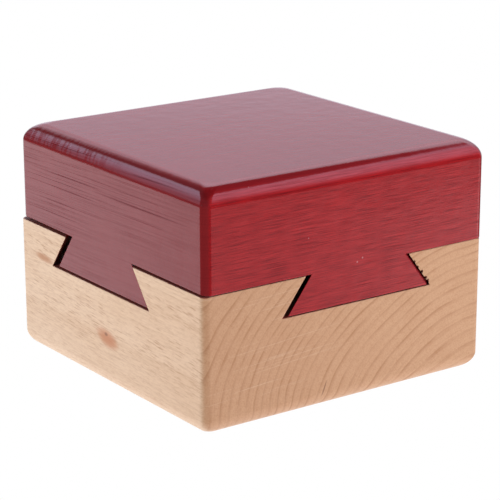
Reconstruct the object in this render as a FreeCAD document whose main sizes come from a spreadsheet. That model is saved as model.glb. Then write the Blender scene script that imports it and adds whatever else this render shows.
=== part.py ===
import FreeCAD, Part
import math
import os

import Sketcher

# Dovetailed puzzle box: a lid block with two parallel dovetail keys that run
# from corner to corner through a base block, so that a tail shows in the middle
# of every side face. Two opposed gravity pins lock the lid.
#
# The box stands on Z = 0, with its side faces square to X and Y. The keys, the
# pins and the lid's travel lie along the diagonal from (-X, -Y) to (+X, +Y).
# The blocks are drawn with their own X along that diagonal and turned by 45
# degrees, so a key's cross-section is a plain outline in the body's YZ plane.

DIMENSIONS = {
    # Outside of the box
    "base_side": 85.0,
    "base_height": 34.5,
    "box_height": 60.0,
    "lid_trim": 0.25,
    "parting_gap": 0.2,
    "lid_drift": 0.4,
    "corner_radius": 2.0,
    "top_radius": 4.7,
    "bottom_radius": 4.2,
    # Dovetail keys, measured square to the keys
    "socket_centre": 32.2,
    "socket_neck": 22.2,
    "socket_depth": 9.3,
    "tail_inset": 0.4,
    "tail_neck": 19.9,
    "tail_depth": 9.0,
    "tail_angle": 28.2,
    "key_bias": 0.3,
    "cut_overrun": 2.0,
    # Hidden compartment
    "stash_length": 60.0,
    "stash_width": 25.0,
    "stash_depth": 24.5,
    # Locking pins, their bushes and the bores they work in
    "pin_distance": 43.5,
    "shank_diameter": 4.0,
    "head_diameter": 6.0,
    "head_height": 5.0,
    "pin_travel": 7.0,
    "pin_chamfer": 0.5,
    "tip_inset": 0.3,
    "chamber_diameter": 6.4,
    "chamber_play": 0.2,
    "bush_diameter": 8.0,
    "bush_bore": 4.1,
    "bush_length": 4.0,
    "keeper_diameter": 5.6,
    "keeper_depth": 8.0,
}

# Lengths that follow from the driving dimensions, as expressions on them
DERIVED = {
    "base_diagonal": "[base_side] * sqrt(2)",
    "lid_diagonal": "([base_side] - 2 * [lid_trim]) * sqrt(2)",
    "lid_floor": "([base_height] + [parting_gap])",
    "tail_bottom": "([base_height] + [parting_gap] - [tail_depth])",
    "flare": "tan([tail_angle] * 1 deg)",
    "bore_depth": "([bush_length] + [head_height] + [pin_travel] + [chamber_play])",
    "shank_length": "([bush_length] + [pin_travel] + [chamber_play] / 2 - [tip_inset])",
    "pin_place": "[pin_distance] / sqrt(2)",
}

ALONG_DIAGONAL = FreeCAD.Rotation(FreeCAD.Vector(0, 0, 1), 45)
UPRIGHT = FreeCAD.Rotation()
UPSIDE_DOWN = FreeCAD.Rotation(FreeCAD.Vector(1, 0, 0), 180)
SKETCH_ORIGIN = (-1, 1)
EDGE_TOLERANCE = 1e-4


def make_sheet(document):
    """The spreadsheet of driving dimensions, one named cell in each row."""
    sheet = document.addObject("Spreadsheet::Sheet", "dims")
    for row, (alias, value) in enumerate(DIMENSIONS.items(), start=1):
        sheet.set(f"A{row}", alias)
        sheet.set(f"B{row}", str(value))
        sheet.setAlias(f"B{row}", alias)
    document.recompute()


def bound(text):
    """An expression, with each [name] in it looked up in the sheet."""
    for name, meaning in DERIVED.items():
        text = text.replace(f"[{name}]", meaning)
    for name in DIMENSIONS:
        text = text.replace(f"[{name}]", f"dims.{name}")
    return text


def make_body(document, name, rotation, place=None):
    """An empty body, turned, with expressions for where its origin goes."""
    body = document.addObject("PartDesign::Body", name)
    body.Label = name
    body.Placement = FreeCAD.Placement(FreeCAD.Vector(0, 0, 0), rotation)
    for axis, text in (place or {}).items():
        body.setExpression(f"Placement.Base.{axis}", bound(text))
    return body


def make_sketch(body, name, plane, height=None):
    """A sketch on one of the body's own planes, raised if a height is given."""
    sketch = body.newObject("Sketcher::SketchObject", name)
    support = next(f for f in body.Origin.OriginFeatures if f.Role == plane)
    sketch.AttachmentSupport = [(support, "")]
    sketch.MapMode = "FlatFace"
    if height:
        sketch.setExpression("AttachmentOffset.Base.z", bound(height))
    return sketch


def constrain(sketch, text, kind, *geometry):
    """A dimension bound to an expression."""
    index = sketch.addConstraint(Sketcher.Constraint(kind, *geometry, 1.0))
    sketch.setExpression(f"Constraints[{index}]", bound(text))


def place_point(sketch, curve, end, across, up):
    """Fix one end or the centre of a curve in the sketch."""
    constrain(sketch, across, "DistanceX", *SKETCH_ORIGIN, curve, end)
    constrain(sketch, up, "DistanceY", *SKETCH_ORIGIN, curve, end)


def add_polygon(sketch, corners):
    """A closed outline through corners, which are pairs of expressions."""
    first = sketch.GeometryCount
    count = len(corners)
    turns = [2 * math.pi * index / count for index in range(count + 1)]
    points = [FreeCAD.Vector(math.cos(t), math.sin(t), 0) for t in turns]
    for start, end in zip(points, points[1:]):
        sketch.addGeometry(Part.LineSegment(start, end))
    for index, (across, up) in enumerate(corners):
        following = first + (index + 1) % count
        join = Sketcher.Constraint("Coincident", first + index, 2, following, 1)
        sketch.addConstraint(join)
        place_point(sketch, first + index, 1, across, up)


def add_circle(sketch, diameter, across="0"):
    """A circle centred on the sketch's X axis."""
    unit = Part.Circle(FreeCAD.Vector(0, 0, 0), FreeCAD.Vector(0, 0, 1), 1)
    curve = sketch.addGeometry(unit)
    constrain(sketch, diameter, "Diameter", curve)
    place_point(sketch, curve, 3, across, "0")


def add_racetrack(sketch, length, width):
    """A slot with round ends, centred on the sketch's origin."""
    first = sketch.GeometryCount
    for side in (1, -1):
        start = -side * math.pi / 2
        centre = FreeCAD.Vector(side, 0, 0)
        circle = Part.Circle(centre, FreeCAD.Vector(0, 0, 1), 1)
        sketch.addGeometry(Part.ArcOfCircle(circle, start, start + math.pi))
        top = FreeCAD.Vector(side, side, 0)
        sketch.addGeometry(Part.LineSegment(top, FreeCAD.Vector(-side, side, 0)))
    for index in range(4):
        curve, following = first + index, first + (index + 1) % 4
        sketch.addConstraint(Sketcher.Constraint("Tangent", curve, 2, following, 1))
    for curve, sign in ((first, ""), (first + 2, "-")):
        constrain(sketch, f"{width} / 2", "Radius", curve)
        place_point(sketch, curve, 3, f"{sign}({length} - {width}) / 2", "0")


def pad(body, sketch, length):
    """Raise a solid on a sketch, upwards."""
    feature = body.newObject("PartDesign::Pad", sketch.Name + "_pad")
    feature.Profile = sketch
    feature.setExpression("Length", bound(length))
    body.Document.recompute()
    return feature


def cut(body, sketch, depth=None, upwards=False):
    """Cut a sketch out of the body: to a depth, or right through both ways."""
    before = body.Shape.Volume
    feature = body.newObject("PartDesign::Pocket", sketch.Name + "_cut")
    feature.Profile = sketch
    if depth:
        feature.setExpression("Length", bound(depth))
        feature.Reversed = upwards
    else:
        feature.Type = "ThroughAll"
        feature.SideType = "Symmetric"
    body.Document.recompute()
    if not 0 < body.Shape.Volume < before:
        raise RuntimeError(f"{feature.Name} cuts nothing")


def round_edges(body, name, radius, chosen):
    """Round the edges of the body for which chosen(bounding box) is true."""
    base = body.Tip
    edges = enumerate(base.Shape.Edges, start=1)
    names = [f"Edge{index}" for index, edge in edges if chosen(edge.BoundBox)]
    feature = body.newObject("PartDesign::Fillet", name)
    feature.Base = (base, names)
    feature.setExpression("Radius", bound(radius))
    body.Document.recompute()


def at_height(height):
    """Chooses the edges that lie level at a height."""
    return lambda box: max(abs(box.ZMin - height), abs(box.ZMax - height)) < EDGE_TOLERANCE


def is_upright(box):
    """Chooses the edges that run straight up."""
    return box.ZLength > 1 and max(box.XLength, box.YLength) < EDGE_TOLERANCE


def make_block(body, diagonal, bottom, top):
    """A square block standing on edge in plan: its diagonals lie on X and Y."""
    plan = make_sketch(body, body.Name + "_plan", "XY_Plane", bottom)
    half = f"{diagonal} / 2"
    corners = [(half, "0"), ("0", half), (f"-{half}", "0"), ("0", f"-{half}")]
    add_polygon(plan, corners)
    pad(body, plan, f"{top} - {bottom}")


def make_pin_bore(body, name, across, mouth, upwards):
    """A stepped bore from the parting face: bush seat, then the head's chamber."""
    seat = make_sketch(body, name + "_bush_seat", "XY_Plane", mouth)
    add_circle(seat, "[bush_diameter]", across)
    cut(body, seat, "[bush_length]", upwards)
    chamber = make_sketch(body, name + "_chamber", "XY_Plane", mouth)
    add_circle(chamber, "[chamber_diameter]", across)
    cut(body, chamber, "[bore_depth]", upwards)


def make_keeper(body, name, across, mouth, upwards):
    """A blind hole in the parting face that the other block's pin enters."""
    hole = make_sketch(body, name, "XY_Plane", mouth)
    add_circle(hole, "[keeper_diameter]", across)
    cut(body, hole, "[keeper_depth]", upwards)


def make_base(document):
    body = make_body(document, "base_block", ALONG_DIAGONAL)
    make_block(body, "[base_diagonal]", "0", "[base_height]")
    round_edges(body, "foot_round", "[bottom_radius]", at_height(body.Shape.BoundBox.ZMin))
    round_edges(body, "base_corner_round", "[corner_radius]", is_upright)

    sockets = make_sketch(body, "sockets", "YZ_Plane")
    half_neck = "([socket_neck] / 2)"
    half_floor = "([socket_neck] / 2 + [socket_depth] * [flare])"
    floor = "[base_height] - [socket_depth]"
    above = "[base_height] + [cut_overrun]"
    for side in ("", "-"):
        centre = f"({side}[socket_centre] + [key_bias])"
        add_polygon(
            sockets,
            [
                (f"{centre} - {half_neck}", above),
                (f"{centre} - {half_neck}", "[base_height]"),
                (f"{centre} - {half_floor}", floor),
                (f"{centre} + {half_floor}", floor),
                (f"{centre} + {half_neck}", "[base_height]"),
                (f"{centre} + {half_neck}", above),
            ],
        )
    cut(body, sockets)

    stash = make_sketch(body, "stash", "XY_Plane", "[base_height]")
    add_racetrack(stash, "[stash_length]", "[stash_width]")
    cut(body, stash, "[stash_depth]")
    make_pin_bore(body, "base_pin", "-[pin_distance]", "[base_height]", False)
    make_keeper(body, "lid_pin_keeper", "[pin_distance]", "[base_height]", False)
    return body


def make_lid(document):
    drift = "[lid_drift] / sqrt(2)"
    place = {"x": drift, "y": f"-{drift}"}
    body = make_body(document, "lid_block", ALONG_DIAGONAL, place)
    make_block(body, "[lid_diagonal]", "[tail_bottom]", "[box_height]")
    round_edges(body, "top_round", "[top_radius]", at_height(body.Shape.BoundBox.ZMax))
    round_edges(body, "lid_corner_round", "[corner_radius]", is_upright)

    waste = make_sketch(body, "waste", "YZ_Plane")
    low = "[tail_bottom] - [cut_overrun]"
    half_neck = "([tail_neck] / 2)"
    half_foot = "([tail_neck] / 2 + ([tail_depth] + [cut_overrun]) * [flare])"
    centre = "([socket_centre] - [tail_inset])"
    bias = "[key_bias]"
    add_polygon(
        waste,
        [
            (f"{bias} - {centre} + {half_foot}", low),
            (f"{bias} + {centre} - {half_foot}", low),
            (f"{bias} + {centre} - {half_neck}", "[lid_floor]"),
            (f"{bias} - {centre} + {half_neck}", "[lid_floor]"),
        ],
    )
    for side in ("", "-"):
        edge = f"{side}([lid_diagonal] / 2 + [cut_overrun])"
        add_polygon(
            waste,
            [
                (f"{bias} + {side}({centre} + {half_foot})", low),
                (edge, low),
                (edge, "[lid_floor]"),
                (f"{bias} + {side}({centre} + {half_neck})", "[lid_floor]"),
            ],
        )
    cut(body, waste)
    make_pin_bore(body, "lid_pin", "[pin_distance]", "[lid_floor]", True)
    make_keeper(body, "base_pin_keeper", "-[pin_distance]", "[lid_floor]", True)
    return body


def make_pin(document, name, rotation, place):
    """A turned pin that stands on its tip, with a wider head that keeps it in."""
    body = make_body(document, name, rotation, place)
    profile = make_sketch(body, name + "_profile", "XZ_Plane")
    shank, head = "([shank_diameter] / 2)", "([head_diameter] / 2)"
    top = "([shank_length] + [head_height])"
    add_polygon(
        profile,
        [
            ("0", "0"),
            (f"{shank} - [pin_chamfer]", "0"),
            (shank, "[pin_chamfer]"),
            (shank, "[shank_length]"),
            (head, "[shank_length]"),
            (head, f"{top} - [pin_chamfer]"),
            (f"{head} - [pin_chamfer]", top),
            ("0", top),
        ],
    )
    turned = body.newObject("PartDesign::Revolution", name + "_turned")
    turned.Profile = profile
    turned.ReferenceAxis = (profile, ["V_Axis"])
    turned.Angle = 360
    document.recompute()
    return body


def make_bush(document, name, place):
    """A short sleeve, pressed flush into the parting face, that the pin slides in."""
    body = make_body(document, name, UPRIGHT, place)
    ring = make_sketch(body, name + "_ring", "XY_Plane")
    add_circle(ring, "[bush_diameter]")
    add_circle(ring, "[bush_bore]")
    pad(body, ring, "[bush_length]")
    return body


def check(document, bodies):
    """Stop before anything is written if a feature or a solid has failed."""
    failed = [o.Name for o in document.Objects if {"Invalid", "Error"} & set(o.State)]
    for body in bodies:
        shape = body.Shape
        if shape.isNull() or not shape.isValid() or len(shape.Solids) != 1:
            failed.append(body.Label)
    if failed:
        raise RuntimeError("failed: " + ", ".join(failed))


def main():
    document = FreeCAD.newDocument("puzzle_box")
    make_sheet(document)
    drift = "[lid_drift] / sqrt(2)"
    over_base = {"x": "-[pin_place]", "y": "-[pin_place]"}
    over_lid = {"x": f"[pin_place] + {drift}", "y": f"[pin_place] - {drift}"}
    bodies = [
        make_base(document),
        make_lid(document),
        make_pin(
            document,
            "lid_lock_pin",
            UPRIGHT,
            {**over_lid, "z": "[lid_floor] + [tip_inset]"},
        ),
        make_pin(
            document,
            "base_lock_pin",
            UPSIDE_DOWN,
            {**over_base, "z": "[base_height] - [tip_inset]"},
        ),
        make_bush(document, "lid_pin_bush", {**over_lid, "z": "[lid_floor]"}),
        make_bush(
            document,
            "base_pin_bush",
            {**over_base, "z": "[base_height] - [bush_length]"},
        ),
    ]
    document.recompute()
    check(document, bodies)
    os.makedirs("parts", exist_ok=True)
    for body in bodies:
        body.Shape.exportStep(f"parts/{body.Label}.step")


main()
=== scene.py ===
import math
import random

import bmesh
import bpy
from mathutils import Matrix, Vector


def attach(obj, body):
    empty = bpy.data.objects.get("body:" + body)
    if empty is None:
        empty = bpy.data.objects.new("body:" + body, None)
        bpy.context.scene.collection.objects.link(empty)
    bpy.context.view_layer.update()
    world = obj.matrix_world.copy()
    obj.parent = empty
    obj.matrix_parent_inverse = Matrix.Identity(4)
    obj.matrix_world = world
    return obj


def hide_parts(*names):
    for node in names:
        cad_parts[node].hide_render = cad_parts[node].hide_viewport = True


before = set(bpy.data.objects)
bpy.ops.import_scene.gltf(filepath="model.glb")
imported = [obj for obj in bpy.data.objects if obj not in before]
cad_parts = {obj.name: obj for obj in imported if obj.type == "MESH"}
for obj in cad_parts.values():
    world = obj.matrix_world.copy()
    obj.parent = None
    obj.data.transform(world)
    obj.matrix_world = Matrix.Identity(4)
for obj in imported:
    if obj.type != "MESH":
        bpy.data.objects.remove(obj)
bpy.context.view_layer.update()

# Left and right are as the camera sees them: the left face is at -X, the right
# face at -Y, and the nearest corner is between them.
#
# Lengths are in millimetres, as in part.py, and become metres where a mesh, a
# lamp or the camera is made.
MM = 0.001
PER_METRE = 1000
DIAGONAL = math.sqrt(0.5)

# The two blocks. The lid is slightly smaller, and sits off centre across the keys.
BASE_SIDE = 85.0
BASE_HEIGHT = 34.5
BOX_HEIGHT = 60.0
LID_SIDE = 84.5
LID_FLOOR = 34.7
LID_DRIFT = 0.4
CORNER_RADIUS = 2.0
TOP_RADIUS = 4.7
TOP_BLUNTING = 0.4
FOOT_RADIUS = 4.2

# The dovetail keys, two along the diagonal, measured across it
KEY_CENTRE = 32.2
KEY_BIAS = 0.3
SOCKET_NECK = 22.2
SOCKET_DEPTH = 9.3
TAIL_INSET = 0.4
TAIL_NECK = 19.9
TAIL_DEPTH = 9.25
TAIL_SPREAD = 0.55
FLARE = math.tan(math.radians(28.2))

# How far the lid's underside is out of true, and how much less the tails' feet are
SEAT_LIFT = 0.14
SEAT_SLOPE_X = -0.002
SEAT_SLOPE_Y = 0.0053
FOOT_STAYS = 0.8

# The compartment, and the bores: for a pin's bush, for the pin, and for the end of
# the other block's pin
STASH_LENGTH = 60.0
STASH_WIDTH = 25.0
STASH_DEPTH = 24.5
PIN_DISTANCE = 43.5
BUSH_DIAMETER = 8.0
BUSH_LENGTH = 4.0
CHAMBER_DIAMETER = 6.4
CHAMBER_DEPTH = 16.2
KEEPER_DIAMETER = 5.6
KEEPER_DEPTH = 8.0

# How far cutters reach past the box, and how many steps make up a curve
REACH = 75.0
OVERRUN = 3.0
CORNER_STEPS = 10
EDGE_STEPS = 14
BORE_STEPS = 48

# Slightly rounded arrises, and smooth shading
BASE_ARRIS = 0.25
LID_ARRIS = 0.2
ARRIS_SEGMENTS = 3
ARRIS_ANGLE = math.radians(30)
SMOOTH_ANGLE = math.radians(38)
NORMAL_WEIGHT = 80
WELD_DISTANCE = 0.002

CHIP_SEED = 11
CHIP_SWELL = (0.7, 1.15)


# ---------------------------------------------------------------- geometry


def add_object(name, data):
    """A new object in the scene, made of some data."""
    added = bpy.data.objects.new(name, data)
    bpy.context.scene.collection.objects.link(added)
    return added


def add_solid(name, mesh):
    """A new object made of an edited mesh, which is freed."""
    data = bpy.data.meshes.new(name)
    mesh.to_mesh(data)
    mesh.free()
    return add_object(name, data)


def on_diagonal(along, across):
    """A plan point given along and square to the diagonal that the keys follow."""
    return ((along - across) * DIAGONAL, (along + across) * DIAGONAL)


def rounded_square(half, radius):
    """The outline of a square with round corners, anticlockwise."""
    points = []
    for quarter in range(4):
        centre_x = (half - radius) * (1 if quarter in (0, 3) else -1)
        centre_y = (half - radius) * (1 if quarter in (0, 1) else -1)
        for step in range(CORNER_STEPS + 1):
            angle = (quarter + step / CORNER_STEPS) * math.pi / 2
            x = centre_x + radius * math.cos(angle)
            y = centre_y + radius * math.sin(angle)
            points.append((x, y))
    return points


def racetrack(length, width):
    """A slot outline with round ends, along the diagonal, anticlockwise."""
    radius = width / 2
    points = []
    for side in (1, -1):
        for step in range(BORE_STEPS // 2 + 1):
            angle = -side * math.pi / 2 + step / (BORE_STEPS // 2) * math.pi
            along = side * (length / 2 - radius) + radius * math.cos(angle)
            points.append(on_diagonal(along, radius * math.sin(angle)))
    return points


def circle(diameter, along):
    """A circle's outline, centred at a distance along the diagonal."""
    points = []
    for step in range(BORE_STEPS):
        angle = step / BORE_STEPS * 2 * math.pi
        x = diameter / 2 * math.cos(angle)
        y = diameter / 2 * math.sin(angle)
        points.append(on_diagonal(along + x, y))
    return points


def make_object(name, rings):
    """A closed solid through a stack of outlines that have the same point count."""
    mesh = bmesh.new()
    loops = [[mesh.verts.new(Vector(point) * MM) for point in ring] for ring in rings]
    mesh.faces.new(list(reversed(loops[0])))
    mesh.faces.new(loops[-1])
    count = len(loops[0])
    for lower, upper in zip(loops, loops[1:]):
        for index in range(count):
            after = (index + 1) % count
            mesh.faces.new((lower[index], lower[after], upper[after], upper[index]))
    bmesh.ops.recalc_face_normals(mesh, faces=mesh.faces)
    return add_solid(name, mesh)


def make_column(name, outline, low, high):
    """An upright prism on a plan outline."""
    rings = [[(x, y, z) for x, y in outline] for z in (low, high)]
    return make_object(name, rings)


def make_bar(name, section):
    """A prism right through the box along the diagonal, on (across, height) points."""
    rings = []
    for along in (-REACH, REACH):
        ring = [(*on_diagonal(along, across), height) for across, height in section]
        rings.append(ring)
    return make_object(name, rings)


def make_hull(name, side, profile, drift, blunting):
    """A square block with round corners, blunter inwards, from (inset, height)s."""
    shift_x, shift_y = on_diagonal(0, -drift)
    rings = []
    for inset, height in profile:
        radius = CORNER_RADIUS + blunting * inset
        outline = rounded_square(side / 2 - inset, radius)
        rings.append([(x + shift_x, y + shift_y, height) for x, y in outline])
    return make_object(name, rings)


def quarter_round(radius, height, upwards):
    """(inset, height) pairs up a rounded edge, from below to above."""
    pairs = []
    for step in range(EDGE_STEPS + 1):
        angle = step / EDGE_STEPS * math.pi / 2
        inset = radius * (1 - math.cos(angle))
        rise = radius * math.sin(angle)
        pairs.append((inset, height + rise if upwards else height - rise))
    return pairs if upwards else pairs[::-1]


def apply_modifiers(solid):
    """Make the modified shape the object's own mesh."""
    graph = bpy.context.evaluated_depsgraph_get()
    mesh = bpy.data.meshes.new_from_object(solid.evaluated_get(graph))
    solid.modifiers.clear()
    solid.data = mesh


def carve(solid, cutters):
    """Cut every cutter out of a solid, and delete the cutters."""
    for cutter in cutters:
        modifier = solid.modifiers.new("carve", "BOOLEAN")
        modifier.operation = "DIFFERENCE"
        modifier.solver = "EXACT"
        modifier.object = cutter
    apply_modifiers(solid)
    for cutter in cutters:
        bpy.data.objects.remove(cutter)


def ease_arrises(solid, width):
    """Weld the mesh, then round its sharp edges slightly, as sanding does."""
    mesh = bmesh.new()
    mesh.from_mesh(solid.data)
    bmesh.ops.remove_doubles(mesh, verts=mesh.verts, dist=WELD_DISTANCE * MM)
    bmesh.ops.dissolve_degenerate(mesh, edges=mesh.edges, dist=WELD_DISTANCE * MM)
    mesh.to_mesh(solid.data)
    mesh.free()
    bevel = solid.modifiers.new("arris", "BEVEL")
    bevel.limit_method = "ANGLE"
    bevel.angle_limit = ARRIS_ANGLE
    bevel.width = width * MM
    bevel.segments = ARRIS_SEGMENTS
    bevel.use_clamp_overlap = False
    apply_modifiers(solid)


def shade(solid):
    """Smooth shading that leaves the flat faces flat."""
    for polygon in solid.data.polygons:
        polygon.use_smooth = True
    solid.data.set_sharp_from_angle(angle=SMOOTH_ANGLE)
    weighted = solid.modifiers.new("normals", "WEIGHTED_NORMAL")
    weighted.keep_sharp = True
    weighted.weight = NORMAL_WEIGHT
    apply_modifiers(solid)


def bores(pin_along):
    """Diameter, place and depth of a block's bush seat, pin chamber and far bore."""
    return (
        (BUSH_DIAMETER, pin_along, BUSH_LENGTH),
        (CHAMBER_DIAMETER, pin_along, CHAMBER_DEPTH),
        (KEEPER_DIAMETER, -pin_along, KEEPER_DEPTH),
    )


def socket_section(side):
    """A socket's outline: its neck at the parting line, and wider at its foot."""
    half_neck = SOCKET_NECK / 2
    half_foot = SOCKET_NECK / 2 + SOCKET_DEPTH * FLARE
    middle = side * KEY_CENTRE + KEY_BIAS
    return [
        (middle - half_foot, BASE_HEIGHT - SOCKET_DEPTH),
        (middle + half_foot, BASE_HEIGHT - SOCKET_DEPTH),
        (middle + half_neck, BASE_HEIGHT),
        (middle + half_neck, BASE_HEIGHT + OVERRUN),
        (middle - half_neck, BASE_HEIGHT + OVERRUN),
        (middle - half_neck, BASE_HEIGHT),
    ]


def socket_wall_chips():
    """Break-out along one edge of a socket, in the end grain of the right face."""
    front = -BASE_SIDE / 2
    middle = front + (KEY_CENTRE - KEY_BIAS) / DIAGONAL
    foot = (SOCKET_NECK / 2 + SOCKET_DEPTH * FLARE) / DIAGONAL
    place = Vector((middle + foot, front, BASE_HEIGHT - SOCKET_DEPTH))
    # Each: how far across and above the socket's foot, half width, half height, depth
    chips = [
        (-0.7, 0.9, 0.7, 0.85, 3.0),
        (-1.35, 2.1, 0.6, 0.45, 2.2),
        (-2.6, 3.9, 0.45, 0.55, 1.8),
        (-3.9, 5.3, 0.3, 0.5, 1.2),
        (-4.9, 6.9, 0.32, 0.4, 1.0),
    ]
    return place, chips


def make_chips(place, chips):
    """Ragged splinters, longest along the grain, to break out of an edge."""
    shards = []
    for index, (across, height, width, tall, deep) in enumerate(chips):
        mesh = bmesh.new()
        bmesh.ops.create_icosphere(mesh, subdivisions=2, radius=1.0)
        jitter = random.Random(index + CHIP_SEED)
        for vertex in mesh.verts:
            swell = jitter.uniform(*CHIP_SWELL)
            x = place.x + across + vertex.co.x * width * swell
            y = place.y + vertex.co.y * deep * swell
            z = place.z + height + vertex.co.z * tall * swell
            vertex.co = Vector((x, y, z))
            vertex.co *= MM
        shards.append(add_solid("shard", mesh))
    return shards


def make_base():
    """The base: a block with two sockets, a compartment, bores and a chipped edge."""
    foot = quarter_round(FOOT_RADIUS, FOOT_RADIUS, upwards=False)
    profile = foot + [(0.0, BASE_HEIGHT)]
    base = make_hull("base_block_detailed", BASE_SIDE, profile, drift=0.0, blunting=0.0)
    above = BASE_HEIGHT + OVERRUN
    cutters = [make_bar("socket", socket_section(side)) for side in (1, -1)]
    stash = racetrack(STASH_LENGTH, STASH_WIDTH)
    cutters.append(make_column("stash", stash, BASE_HEIGHT - STASH_DEPTH, above))
    for diameter, along, depth in bores(-PIN_DISTANCE):
        outline = circle(diameter, along)
        cutters.append(make_column("bore", outline, BASE_HEIGHT - depth, above))
    carve(base, cutters)
    ease_arrises(base, BASE_ARRIS)
    carve(base, make_chips(*socket_wall_chips()))
    shade(base)
    return base


def make_lid():
    """The lid: a block cut away below to leave two tails, with bores and round edges."""
    top = quarter_round(TOP_RADIUS, BOX_HEIGHT - TOP_RADIUS, upwards=True)
    profile = [(0.0, LID_FLOOR - TAIL_DEPTH)] + top
    lid = make_hull("lid_block_detailed", LID_SIDE, profile, LID_DRIFT, TOP_BLUNTING)
    centre = KEY_CENTRE - TAIL_INSET
    low = LID_FLOOR - TAIL_DEPTH - OVERRUN
    half_neck = TAIL_NECK / 2
    half_foot = half_neck + (TAIL_DEPTH + OVERRUN) * FLARE
    shift = KEY_BIAS - LID_DRIFT
    middle_waste = [
        (shift - centre + half_foot, low),
        (shift + centre - half_foot, low),
        (shift + centre - half_neck, LID_FLOOR),
        (shift - centre + half_neck, LID_FLOOR),
    ]
    cutters = [make_bar("waste", middle_waste)]
    for side, spread in ((1, 0.0), (-1, TAIL_SPREAD)):
        outer_waste = [
            (shift + side * (centre + half_foot + spread), low),
            (side * REACH, low),
            (side * REACH, LID_FLOOR),
            (shift + side * (centre + half_neck + spread), LID_FLOOR),
        ]
        cutters.append(make_bar("waste", outer_waste))
    below = LID_FLOOR - OVERRUN
    drift_x, drift_y = on_diagonal(0, -LID_DRIFT)
    for diameter, along, depth in bores(PIN_DISTANCE):
        outline = [(x + drift_x, y + drift_y) for x, y in circle(diameter, along)]
        cutters.append(make_column("bore", outline, below, LID_FLOOR + depth))
    carve(lid, cutters)
    ease_arrises(lid, LID_ARRIS)
    seat_lid(lid)
    shade(lid)
    return lid


def seat_lid(lid):
    """Put the lid's underside a little out of true: its gap is widest at the left.

    The top stays where it is, and the feet of the tails move a fifth as far.
    """
    for vertex in lid.data.vertices:
        x, y, z = vertex.co / MM
        below_top = (BOX_HEIGHT - z) / (BOX_HEIGHT - LID_FLOOR)
        below_floor = max(0.0, (LID_FLOOR - z) / TAIL_DEPTH)
        share = min(1.0, max(0.0, below_top)) - FOOT_STAYS * below_floor
        lift = SEAT_LIFT + SEAT_SLOPE_X * x + SEAT_SLOPE_Y * y
        vertex.co.z += lift * share * MM


# ---------------------------------------------------------------- materials

BEECH_SIDE = (0.91, 0.68, 0.48, 1)
# Side grain, darker: in clouds, and towards -Y
BEECH_SIDE_DARKER = (0.82, 0.57, 0.375, 1)
BEECH_END = (0.655, 0.385, 0.222, 1)
# End grain, darker: in clouds, and as painted shade towards -X
BEECH_END_CLOUDED_AND_SHADED = (0.59, 0.33, 0.185, 1)
LATE_WOOD = (0.34, 0.14, 0.055, 1)
RAY = (0.40, 0.17, 0.07, 1)
FIBRE = (0.42, 0.20, 0.09, 1)
GRIT = (0.42, 0.17, 0.06, 1)
SAW_MARK = (0.80, 0.58, 0.42, 1)
KNOT = (0.60, 0.25, 0.125, 1)
KNOT_HEART = (0.20, 0.09, 0.05, 1)
MINERAL_STREAK = (0.52, 0.225, 0.11, 1)
FLECK = (0.20, 0.08, 0.04, 1)
# Dark red painted shade in the sockets and along the joint, also for smeared lacquer
GAP_SHADE_AND_LACQUER = (0.25, 0.034, 0.024, 1)

LACQUER_SIDE = (0.445, 0.011, 0.014, 1)
LACQUER_SIDE_DEEP = (0.37, 0.008, 0.010, 1)
LACQUER_END = (0.255, 0.014, 0.016, 1)
LACQUER_END_DEEP = (0.215, 0.010, 0.012, 1)
# Dark grain lines, and painted shade where the rounded edges turn over
LACQUER_DARK_GRAIN_AND_SHADE = (0.10, 0.008, 0.011, 1)
# Painted light on the lower half of the side grain's rounded edge
LACQUER_PAINTED_LIGHT = (0.66, 0.030, 0.032, 1)
DUST = (0.6, 0.35, 0.35, 1)

STEEL = (0.62, 0.62, 0.60, 1)
STEEL_TARNISH = (0.36, 0.33, 0.30, 1)
BRASS = (0.72, 0.50, 0.20, 1)
BRASS_TARNISH = (0.42, 0.26, 0.10, 1)
TOOL_MARKS = 6.0

# The beech's pith lies outside the block, to the right of it and below it.
PITH_X = 44.0
PITH_Z = -27.0
TYPICAL_RADIUS = 60.0

# Fixed dust specks, and how their brightness falls with distance
SPECKS = ((2.3, -42.4, 35.3), (3.9, -42.4, 36.1), (-42.4, -11.0, 35.4))
SPECK_FADE = (0.36, 0.1)

# Just inside the side faces, for shades that change from one face to the opposite
SPAN = 42


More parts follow.
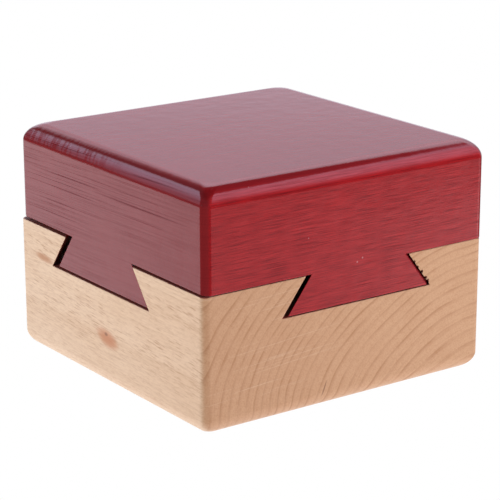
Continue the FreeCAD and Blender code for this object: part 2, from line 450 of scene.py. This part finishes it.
class Graph:
    """A node tree, with a method for each kind of node that the materials need."""

    def __init__(self, tree):
        self.tree = tree
        tree.nodes.clear()

    def add(self, kind, inputs=None, **settings):
        """A node, with its settings, and its inputs as values or as outputs to link."""
        node = self.tree.nodes.new(kind)
        for name, value in settings.items():
            setattr(node, name, value)
        for socket, value in (inputs or {}).items():
            self.put(node.inputs[socket], value)
        return node

    def put(self, socket, value):
        """Link an output to a socket, or set the socket's own value."""
        if isinstance(value, bpy.types.NodeSocket):
            self.tree.links.new(value, socket)
        else:
            socket.default_value = value

    def math(self, operation, *values):
        node = self.add("ShaderNodeMath", dict(enumerate(values)), operation=operation)
        return node.outputs[0]

    def total(self, first, *others):
        for other in others:
            first = self.math("ADD", first, other)
        return first

    def product(self, first, *others):
        for other in others:
            first = self.math("MULTIPLY", first, other)
        return first

    def ramp(self, value, low, high, start=0.0, end=1.0):
        """A smooth step from start, at low, to end, at high."""
        inputs = {0: value, 1: low, 2: high, 3: start, 4: end}
        node = self.add("ShaderNodeMapRange", inputs, interpolation_type="SMOOTHSTEP")
        return node.outputs[0]

    def between(self, share, start, end):
        """A smooth step from start, at a share of 0, to end, at a share of 1."""
        return self.ramp(share, 0.0, 1.0, start, end)

    def split(self, vector):
        return self.add("ShaderNodeSeparateXYZ", {0: vector}).outputs

    def join(self, x, y, z):
        return self.add("ShaderNodeCombineXYZ", {0: x, 1: y, 2: z}).outputs[0]

    def scaled(self, parts, scales):
        """A place in a texture, from three coordinates that are each scaled."""
        return self.join(*[self.product(*pair) for pair in zip(parts, scales)])

    def noise(self, vector, scale=1.0, detail=2.0, roughness=0.5):
        inputs = {"Vector": vector, "Scale": scale}
        inputs |= {"Detail": detail, "Roughness": roughness}
        return self.add("ShaderNodeTexNoise", inputs).outputs[0]

    def grains(self, vector, fade, rarity):
        """Scattered grains: how they fade with distance, and how few of them show."""
        node = self.add("ShaderNodeTexVoronoi", {"Vector": vector, "Scale": 1.0})
        chance = self.split(node.outputs["Color"])[0]
        apart = node.outputs["Distance"]
        return self.product(self.ramp(apart, *fade), self.ramp(chance, *rarity))

    def distance(self, vector, point):
        inputs = {0: vector, 1: point}
        node = self.add("ShaderNodeVectorMath", inputs, operation="DISTANCE")
        return node.outputs["Value"]

    def mix(self, share, first, second):
        inputs = {0: share, 6: first, 7: second}
        return self.add("ShaderNodeMix", inputs, data_type="RGBA").outputs[2]

    def bump(self, height, distance, strength):
        inputs = {"Height": height, "Distance": distance * MM, "Strength": strength}
        return self.add("ShaderNodeBump", inputs).outputs[0]

    def shader(self, **inputs):
        """The surface shader, with its sockets given by name."""
        node = self.add("ShaderNodeBsdfPrincipled")
        for name, value in inputs.items():
            self.put(node.inputs[name.replace("_", " ")], value)
        self.output("ShaderNodeOutputMaterial", node)

    def output(self, kind, node):
        """Show a shader node as the material or the world."""
        self.put(self.add(kind).inputs[0], node.outputs[0])


def new_graph(name):
    """A new material, and the graph of its nodes."""
    material = bpy.data.materials.new(name)
    material.use_nodes = True
    return material, Graph(material.node_tree)


def millimetres(graph):
    """The point on the object, in millimetres, as x, y and z."""
    place = graph.add("ShaderNodeTexCoord").outputs["Object"]
    inputs = {0: place, 3: PER_METRE}
    scale = graph.add("ShaderNodeVectorMath", inputs, operation="SCALE")
    return graph.split(scale.outputs[0])


def facing(graph, axis):
    """How squarely the surface faces along one of the object's axes."""
    normal = graph.add("ShaderNodeTexCoord").outputs["Normal"]
    return graph.math("ABSOLUTE", graph.split(normal)[axis])


def spot(graph, across, up, tilt, half_length, half_height):
    """A soft oval, 1 at its middle and 0 from its rim outwards; tilt in degrees."""
    cosine, sine = math.cos(math.radians(tilt)), math.sin(math.radians(tilt))
    along = graph.total(graph.product(across, cosine), graph.product(up, sine))
    off = graph.total(graph.product(across, -sine), graph.product(up, cosine))
    along = graph.math("POWER", graph.product(along, 1 / half_length), 2)
    off = graph.math("POWER", graph.product(off, 1 / half_height), 2)
    return graph.ramp(graph.total(along, off), 1.0, 0.0)


def trunk_place(graph, x, y, z):
    """How far the point is from the pith, and how far round the rings."""
    wander = graph.noise(graph.scaled((x, y, z), (1, 0.15, 1)), 0.05, 2)
    wander = graph.product(graph.total(wander, -0.5), 2.2)
    # Towards the left the rings stand steeper than circles.
    lean = graph.product(z, graph.total(0.45, graph.product(z, -0.0105)))
    lean = graph.product(lean, graph.ramp(x, -22.0, 16.0, 1.0, 0.0))
    from_pith_x = graph.total(PITH_X, graph.product(x, -1), graph.product(lean, -1))
    from_pith_z = graph.total(z, -PITH_Z)
    square_x = graph.math("POWER", from_pith_x, 2)
    square_z = graph.math("POWER", from_pith_z, 2)
    radius = graph.math("SQRT", graph.total(square_x, square_z))
    turn = graph.math("ARCTAN2", from_pith_z, from_pith_x)
    return graph.total(radius, wander), graph.product(turn, TYPICAL_RADIUS)


def growth_rings(graph, radius, around, x, z):
    """A dark line of late wood for each year, and thinner lines within the year."""
    # The years are leanest, and the rings closest, 70 mm from the pith.
    lean_years = graph.math("TANH", graph.total(graph.product(radius, 0.05), -3.5))
    phase = graph.total(graph.product(radius, 0.25), graph.product(lean_years, 5.0))
    share = graph.math("FRACT", phase)
    late = graph.product(graph.ramp(share, 0.35, 0.93), graph.ramp(share, 1.0, 0.95))
    late = graph.math("POWER", late, 3.2)
    year = graph.math("FLOOR", phase)
    bold = graph.noise(graph.join(graph.product(year, 3.7), z, x), 0.13, 1)
    late = graph.product(late, graph.ramp(bold, 0.3, 0.7, 0.25, 1.0))
    thin_place = graph.join(graph.product(radius, 1.9), graph.product(around, 0.05), 0.0)
    thin = graph.ramp(graph.noise(thin_place, 1.0, 4, 0.7), 0.45, 0.75)
    return graph.total(late, graph.product(thin, 0.45))


def gap_shade_and_smeared_lacquer(graph, x, y, z):
    """Dark red painted shade in the sockets and along the joint, also for lacquer smeared from
    the lid.
    """
    from_middle = graph.math("ABSOLUTE", x), graph.math("ABSOLUTE", y)
    outermost = graph.math("MAXIMUM", *from_middle)
    innermost = graph.math("MINIMUM", *from_middle)
    # Close to the side faces, but not on them
    inwards = graph.ramp(outermost, 42.45, 42.3)
    gap_band = graph.product(inwards, graph.ramp(outermost, 36.0, 41.5))
    # Away from the corners, or else on the top of the base
    off_corner = graph.ramp(innermost, 40.0, 38.0)
    midway = graph.math("MAXIMUM", off_corner, graph.ramp(z, 34.2, 34.4))
    above_socket_floor = graph.ramp(z, 25.0, 25.15)
    return graph.product(gap_band, midway, above_socket_floor, 0.9)


def make_beech():
    """Bare beech, its fibres along Y, cut from one side of a trunk."""
    material, graph = new_graph("natural_beech")
    x, y, z = millimetres(graph)
    radius, around = trunk_place(graph, x, y, z)
    rings = growth_rings(graph, radius, around, x, z)
    # Rays are thin lenses, long outwards from the pith and short along the fibres.
    slant = graph.total(around, graph.product(y, -0.05))
    ray_place = graph.scaled((radius, y, slant), (0.16, 0.28, 5.2))
    rays = graph.grains(ray_place, (0.6, 0.2), (0.5, 0.95))
    fibre_place = graph.scaled((radius, y, around), (3.0, 0.12, 3.0))
    fibres = graph.noise(fibre_place, 1.0, 3, 0.6)
    clouds = graph.noise(graph.scaled((x, y, z), (1, 0.4, 1)), 0.09, 3)
    grit = graph.noise(graph.scaled((x, y, z), (1, 0.25, 1)), 2.6, 3, 0.7)
    pores = graph.noise(graph.scaled((x, y, z), (1, 0.3, 1)), 6.0, 3, 0.7)
    # Nearly level saw marks across the end grain, strongest at the left
    saw_level = graph.total(z, graph.product(x, -0.065))
    saw_place = graph.join(graph.product(x, 0.012), 0.0, saw_level)
    saw = graph.ramp(graph.noise(saw_place, 2.4, 2), 0.60, 0.72)

    end_grain = graph.ramp(facing(graph, 1), 0.18, 0.85)
    # Side grain darker in clouds, and towards -Y
    side_darkening = graph.total(clouds, graph.ramp(y, SPAN, -SPAN, -0.2, 0.35))
    # End grain darker in clouds, and painted shade towards the left (-X)
    end_clouds_and_shade = graph.total(clouds, graph.ramp(x, SPAN, -SPAN, -0.1, 0.5))
    side_colour = graph.mix(side_darkening, BEECH_SIDE, BEECH_SIDE_DARKER)
    end_colour = graph.mix(end_clouds_and_shade, BEECH_END, BEECH_END_CLOUDED_AND_SHADED)
    colour = graph.mix(end_grain, side_colour, end_colour)
    # On the face nearest the pith the rays lie flat and show only faintly.
    flat_rays = graph.ramp(x, SPAN, 10.0, 0.3, 1.0)
    shares = (
        (graph.product(rings, graph.between(end_grain, 0.10, 0.48)), LATE_WOOD),
        (graph.product(rays, graph.between(end_grain, 0.42, 0.12), flat_rays), RAY),
        (graph.product(graph.ramp(fibres, 0.42, 0.75), 0.24), FIBRE),
        (graph.product(graph.ramp(grit, 0.4, 0.8), graph.between(end_grain, 0.26, 0.44)), GRIT),
        (graph.product(saw, end_grain, graph.ramp(x, 12.0, -30.0, 0.06, 0.26)), SAW_MARK),
    )
    for share, shade_colour in shares:
        colour = graph.mix(share, colour, shade_colour)

    # A pin knot, its heart and a mineral streak in the left face, and a fleck in the
    # right one. Each: its face, the way across it, middle across and up, tilt, half
    # length and half height, strength, and colour.
    left = graph.ramp(x, -36.0, -41.0)
    right = graph.ramp(y, -41.0, -42.2)
    marks = (
        (left, y, 0.0, 12.9, 10, 6.0, 2.7, 0.85, KNOT),
        (left, y, 0.6, 13.9, 0, 1.0, 0.6, 0.6, KNOT_HEART),
        (left, y, 30.5, 26.3, 3, 5.5, 1.3, 0.7, MINERAL_STREAK),
        (right, x, -7.4, 5.0, 68, 2.6, 0.28, 0.7, FLECK),
    )
    for face, across, middle, up, *oval, strength, mark_colour in marks:
        place = graph.total(across, -middle), graph.total(z, -up)
        mark = graph.product(spot(graph, *place, *oval), face, strength)
        colour = graph.mix(mark, colour, mark_colour)
    # Dark red painted shade in the sockets and along the joint, also smeared lacquer
    colour = graph.mix(gap_shade_and_smeared_lacquer(graph, x, y, z), colour, GAP_SHADE_AND_LACQUER)

    relief = graph.total(
        graph.product(rays, -0.5),
        graph.product(rings, -0.4),
        graph.product(fibres, 0.8),
        graph.product(pores, 0.5),
    )
    graph.shader(
        Base_Color=colour,
        Roughness=graph.ramp(graph.total(rings, pores), 0.4, 1.4, 0.52, 0.66),
        Specular_IOR_Level=0.35,
        Normal=graph.bump(relief, 0.03, 0.5),
    )
    return material


def grain_lines(graph, x, y, z, layers, left):
    """Long dark lines across the end grain, and one open split in the left face."""
    line_place = graph.scaled((x, y, layers), (0.02, 0.025, 5.6))
    lines = graph.ramp(graph.noise(line_place, 1.0, 1, 0.5), 0.56, 0.70)
    # The grain is more open towards the top and the far side.
    slope = graph.total(z, graph.product(y, 0.35))
    lines = graph.product(lines, graph.ramp(slope, 28.0, 56.0, 0.25, 1.0))
    split_place = graph.total(y, 15.5), graph.total(z, -49.6)
    split = graph.product(spot(graph, *split_place, -0.8, 26.0, 0.26), left)
    return graph.math("MAXIMUM", lines, split)


def dust_specks(graph, point, parts):
    """Specks of dust: some scattered, and a few at fixed places."""
    place = graph.scaled(parts, (0.18, 0.18, 0.18))
    dust = graph.grains(place, (0.05, 0.02), (0.5, 0.6))
    for speck in SPECKS:
        shown = graph.ramp(graph.distance(point, speck), *SPECK_FADE)
        dust = graph.math("MAXIMUM", dust, shown)
    return dust


def edge_ripples(graph, y, z, level, left):
    """Sanding ripples, and where they show: on the far half of the left rounded edge."""
    place = graph.join(0.0, graph.product(y, 0.8), graph.product(z, 0.2))
    ripples = graph.noise(place, 1.0, 2)
    rounded = graph.product(graph.ramp(level, 0.05, 0.3), graph.ramp(level, 0.95, 0.8))
    return ripples, graph.product(rounded, left, graph.ramp(y, -12.0, 12.0))


def make_lacquer():
    """Dark red lacquer, glossy and see-through, on wood with fibres along X."""
    material, graph = new_graph("red_lacquered_wood")
    x, y, z = millimetres(graph)
    point = graph.join(x, y, z)
    left = graph.ramp(x, -36.0, -40.0)
    end_grain = graph.ramp(facing(graph, 0), 0.10, 0.55)
    level = facing(graph, 2)
    topmost = graph.ramp(level, 0.5, 0.95)
    beside = graph.between(topmost, 1.0, 0.0)
    calm = graph.between(topmost, 1.0, 0.35)

    # The wood's layers, nearly level; then lines, fine hairs, short streaks and
    # dashes along the fibres, and clouds
    sweep = graph.noise(graph.scaled((x, y, z), (0.25, 1, 1)), 0.03, 1)
    layers = graph.total(z, graph.product(y, 0.02), graph.product(sweep, 0.5))
    lines = grain_lines(graph, x, y, z, layers, left)
    hair_place = graph.scaled((x, y, layers), (0.03, 0.05, 7.0))
    hair = graph.ramp(graph.noise(hair_place, 1.0, 2), 0.45, 0.75)
    streak_place = graph.scaled((x, y, layers), (0.11, 5.5, 7.0))
    streaks = graph.noise(streak_place, 1.0, 4, 0.68)
    dash_place = graph.scaled((x, y, layers), (0.15, 5.0, 6.4))
    dashes = graph.grains(dash_place, (0.6, 0.2), (0.3, 0.9))
    clouds = graph.noise(graph.scaled((x, y, z), (0.4, 1, 1)), 0.07, 3)

    side_colour = graph.mix(clouds, LACQUER_SIDE, LACQUER_SIDE_DEEP)
    end_colour = graph.mix(clouds, LACQUER_END, LACQUER_END_DEEP)
    colour = graph.mix(end_grain, side_colour, end_colour)
    line_share = graph.product(lines, graph.between(end_grain, 0.20, 0.62), beside)
    hair_share = graph.product(hair, 0.25, beside)
    streaked = graph.ramp(streaks, 0.40, 0.66)
    streak_share = graph.product(streaked, graph.between(end_grain, 0.72, 0.1), calm)
    dash_share = graph.product(dashes, graph.between(end_grain, 0.36, 0.0), calm)
    for share in (line_share, hair_share, streak_share, dash_share):
        colour = graph.mix(share, colour, LACQUER_DARK_GRAIN_AND_SHADE)

    # On the side grain, the lower half of the rounded edge is painted lighter: painted light
    # from above.
    painted_light_edge = graph.product(graph.ramp(level, 0.08, 0.35), graph.ramp(level, 0.85, 0.6))
    painted_light_edge = graph.product(painted_light_edge, graph.between(end_grain, 0.28, 0.0))
    colour = graph.mix(painted_light_edge, colour, LACQUER_PAINTED_LIGHT)
    # Painted shade: a darker band where the rounded edges turn over to the top.
    flattest = graph.between(end_grain, 0.99, 0.94)
    steeper = graph.between(end_grain, 0.92, 0.80)
    turn_over = graph.ramp(level, flattest, steeper)
    turn_over_shade = graph.product(graph.ramp(level, 0.55, 0.80), turn_over, 0.38)
    colour = graph.mix(turn_over_shade, colour, LACQUER_DARK_GRAIN_AND_SHADE)
    dust = graph.product(dust_specks(graph, point, (x, y, z)), 0.5)
    colour = graph.mix(dust, colour, DUST)

    # The lacquer sinks into the open grain and shines less there and on the ripples.
    ripples, rippled = edge_ripples(graph, y, z, level, left)
    sunk = graph.total(
        graph.product(line_share, 0.9),
        graph.product(dash_share, 0.7),
        hair_share,
        graph.product(streak_share, beside, 0.5),
        graph.product(rippled, graph.ramp(ripples, 0.45, 0.60), 0.5),
    )
    grain = graph.total(graph.product(lines, -0.3), graph.product(streaks, 0.5))
    relief = graph.total(
        graph.noise(point, 0.22, 2),
        graph.product(grain, graph.between(topmost, 0.30, 0.08)),
        graph.product(ripples, rippled, 2.0),
    )
    graph.shader(
        Base_Color=colour,
        Roughness=graph.ramp(streaks, 0.2, 0.8, 0.42, 0.55),
        Specular_IOR_Level=0.0,
        Coat_Weight=graph.total(1.0, graph.product(sunk, -1)),
        Coat_Roughness=0.06,
        Coat_IOR=1.5,
        Normal=graph.bump(grain, 0.015, 0.4),
        Coat_Normal=graph.bump(relief, 0.08, 0.35),
    )
    return material


def make_metal(name, colour, tarnish):
    """Turned metal: fine rings of tool marks, and dull patches."""
    material, graph = new_graph(name)
    x, y, z = millimetres(graph)
    marks = graph.noise(graph.join(0.0, 0.0, graph.product(z, TOOL_MARKS)), 1.0, 3)
    wear = graph.noise(graph.join(x, y, z), 0.7, 4, 0.6)
    graph.shader(
        Base_Color=graph.mix(graph.ramp(wear, 0.35, 0.75), colour, tarnish),
        Metallic=1.0,
        Roughness=graph.ramp(wear, 0.3, 0.8, 0.22, 0.5),
        Normal=graph.bump(graph.total(marks, graph.product(wear, 0.3)), 0.02, 0.4),
    )
    return material


def dress(solid, material):
    """Give a piece its material, and no other."""
    solid.data.materials.clear()
    solid.data.materials.append(material)


# ------------------------------------------------------- light, floor, camera

DEGREES = 180 / math.pi
WHITE = (1.0, 1.0, 1.0, 1)

# The studio's panels, in degrees. Each: brightness; heading (middle, half width,
# soft border); lowest rise and its soft border; highest rise and its soft border.
# Heading 0 is +Y, and 90 is +X.
PANELS = (
    # All round: dim walls, and the floor close by
    (0.10, (0, 400, 1), (-90, 1), (58, 10)),
    (1.35, (0, 400, 1), (-90, 1), (-34, 8)),
    # The floor further off, mirrored in the left face and then in the right one
    (1.40, (-20, 18, 9), (-30, 5), (-11, 1.5)),
    (0.66, (141, 15, 5), (-30, 5), (-14, 3)),
    (1.90, (122, 14, 9), (-30, 5), (-14, 3)),
    # A glow low behind the box, mirrored in the far part of the top
    (0.40, (36, 25, 15), (-5, 3), (11.2, 2.5)),
    # Bands mirrored in the left rounded edge
    (0.55, (-14, 34, 6), (-2, 5), (27, 9)),
    (1.50, (-30.5, 17.5, 4), (19, 13), (34, 1.5)),
    (0.80, (10, 8, 6), (15, 10), (33, 5)),
    # Bands mirrored in the right rounded edge
    (0.62, (63, 43, 10), (-8, 6), (48.5, 2.4)),
    (1.15, (63, 43, 10), (28, 16), (48.5, 2.4)),
    (1.62, (127, 21, 10), (14, 13), (49, 1.8)),
)

LAMP_DISTANCE = 380
LAMP_SIZE = 150
LAMP_AIM = Vector((0, 0, 30))

FLOOR_REACH = 1500
FLOOR_DROP = 0.1

CAMERA_AIM = Vector((-2.72, -5.12, 30.08))
CAMERA_DISTANCE = 502.7
CAMERA_AZIMUTH = 35.44
CAMERA_ELEVATION = 16.705
CAMERA_ROLL = -0.15
SENSOR_WIDTH = 36
FOCAL_LENGTH = 142.2


def panel_light(graph, heading, rise, panel):
    """One panel's brightness in a direction, with soft borders."""
    brightness, (middle, half, soft), low, high = panel
    turned = graph.math("WRAP", graph.total(heading, -middle), 180, -180)
    inside = graph.ramp(graph.math("ABSOLUTE", turned), half + soft, half - soft)
    for edge, border, sign in ((*low, 1), (*high, -1)):
        step = graph.ramp(rise, edge - sign * border, edge + sign * border)
        inside = graph.product(inside, step)
    return graph.product(inside, brightness)


def make_world():
    """A white studio: soft panels round the box, and plain white to the camera."""
    world = bpy.data.worlds.new("studio")
    world.use_nodes = True
    bpy.context.scene.world = world
    graph = Graph(world.node_tree)
    direction = graph.add("ShaderNodeTexCoord").outputs["Generated"]
    x, y, z = graph.split(direction)
    heading = graph.product(graph.math("ARCTAN2", x, y), DEGREES)
    rise = graph.product(graph.math("ARCSINE", z), DEGREES)
    light = graph.total(0.0, *[panel_light(graph, heading, rise, panel) for panel in PANELS])
    # Daylight from the two sides is bluer than the light from behind the box.
    aside = graph.math("ABSOLUTE", graph.total(heading, -35))
    sky = graph.mix(graph.ramp(aside, 35, 60), (0.95, 1.0, 1.18, 1), (0.92, 1.0, 1.36, 1))
    tint = graph.mix(graph.ramp(rise, -12, 8), (1.0, 1.0, 1.06, 1), sky)
    lit = graph.add("ShaderNodeBackground", {0: tint, 1: light})
    backdrop = graph.add("ShaderNodeBackground", {0: WHITE, 1: 1.0})
    to_camera = graph.add("ShaderNodeLightPath").outputs["Is Camera Ray"]
    inputs = {0: to_camera, 1: lit.outputs[0], 2: backdrop.outputs[0]}
    graph.output("ShaderNodeOutputWorld", graph.add("ShaderNodeMixShader", inputs))


def make_lamp(name, heading, rise, power):
    """A round soft lamp that lights the box and doesn't show in its gloss."""
    heading, rise = math.radians(heading), math.radians(rise)
    away = Vector((math.sin(heading), math.cos(heading), math.tan(rise))).normalized()
    data = bpy.data.lights.new(name, "AREA")
    data.shape = "DISK"
    data.size = LAMP_SIZE * MM
    data.energy = power
    lamp = add_object(name, data)
    lamp.location = (LAMP_AIM + away * LAMP_DISTANCE) * MM
    lamp.rotation_euler = away.to_track_quat("Z", "Y").to_euler()
    lamp.visible_glossy = False


def make_floor():
    """A plain white floor that only the camera sees, and only from above.

    The panels below the box stand for the light that a floor sends back. The sheet
    lies just under the box, because two surfaces in one plane show as a dark line.
    """
    material, graph = new_graph("white_floor")
    glow = graph.add("ShaderNodeEmission", {0: WHITE, 1: 1.0})
    clear = graph.add("ShaderNodeBsdfTransparent")
    under = graph.add("ShaderNodeNewGeometry").outputs["Backfacing"]
    inputs = {0: under, 1: glow.outputs[0], 2: clear.outputs[0]}
    graph.output("ShaderNodeOutputMaterial", graph.add("ShaderNodeMixShader", inputs))
    corners = []
    for side_x, side_y in ((-1, -1), (1, -1), (1, 1), (-1, 1)):
        corner = Vector((side_x * FLOOR_REACH, side_y * FLOOR_REACH, -FLOOR_DROP))
        corners.append(corner * MM)
    data = bpy.data.meshes.new("floor")
    data.from_pydata(corners, [], [(0, 1, 2, 3)])
    data.materials.append(material)
    floor = add_object("floor", data)
    floor.visible_diffuse = False
    floor.visible_glossy = False
    floor.visible_transmission = False
    floor.visible_shadow = False


def make_camera():
    """A long lens, a little above the box, in front of its nearest upright edge."""
    azimuth = math.radians(CAMERA_AZIMUTH)
    elevation = math.radians(CAMERA_ELEVATION)
    roll = math.radians(CAMERA_ROLL)
    back_x = -math.cos(elevation) * math.sin(azimuth)
    back_y = -math.cos(elevation) * math.cos(azimuth)
    back = Vector((back_x, back_y, math.sin(elevation)))
    level = back.cross(Vector((0, 0, -1))).normalized()
    rise = back.cross(level)
    right = math.cos(roll) * level + math.sin(roll) * rise
    upward = back.cross(right)
    data = bpy.data.cameras.new("camera")
    data.sensor_width = SENSOR_WIDTH
    data.lens = FOCAL_LENGTH
    camera = add_object("camera", data)
    place = Matrix.Translation(CAMERA_AIM * MM + back * (CAMERA_DISTANCE * MM))
    turn = Matrix((right, upward, back)).transposed()
    camera.matrix_world = place @ turn.to_4x4()
    bpy.context.scene.camera = camera


# ------------------------------------------------------------------ assembly

beech = make_beech()
lacquer = make_lacquer()
steel = make_metal("pin_steel", STEEL, STEEL_TARNISH)
brass = make_metal("bush_brass", BRASS, BRASS_TARNISH)

base_block = make_base()
dress(base_block, beech)
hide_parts("base_block")
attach(base_block, "base")

lid_block = make_lid()
dress(lid_block, lacquer)
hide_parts("lid_block")
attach(lid_block, "lid")

for pin in ("lid_lock_pin", "base_lock_pin"):
    dress(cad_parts[pin], steel)
for bush in ("lid_pin_bush", "base_pin_bush"):
    dress(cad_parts[bush], brass)

make_world()
make_lamp("key", heading=165, rise=4, power=0.74)
make_lamp("fill", heading=-85, rise=8, power=0.68)
make_lamp("top", heading=40, rise=80, power=0.37)
make_floor()
make_camera()
bpy.context.scene.view_settings.view_transform = "Standard"
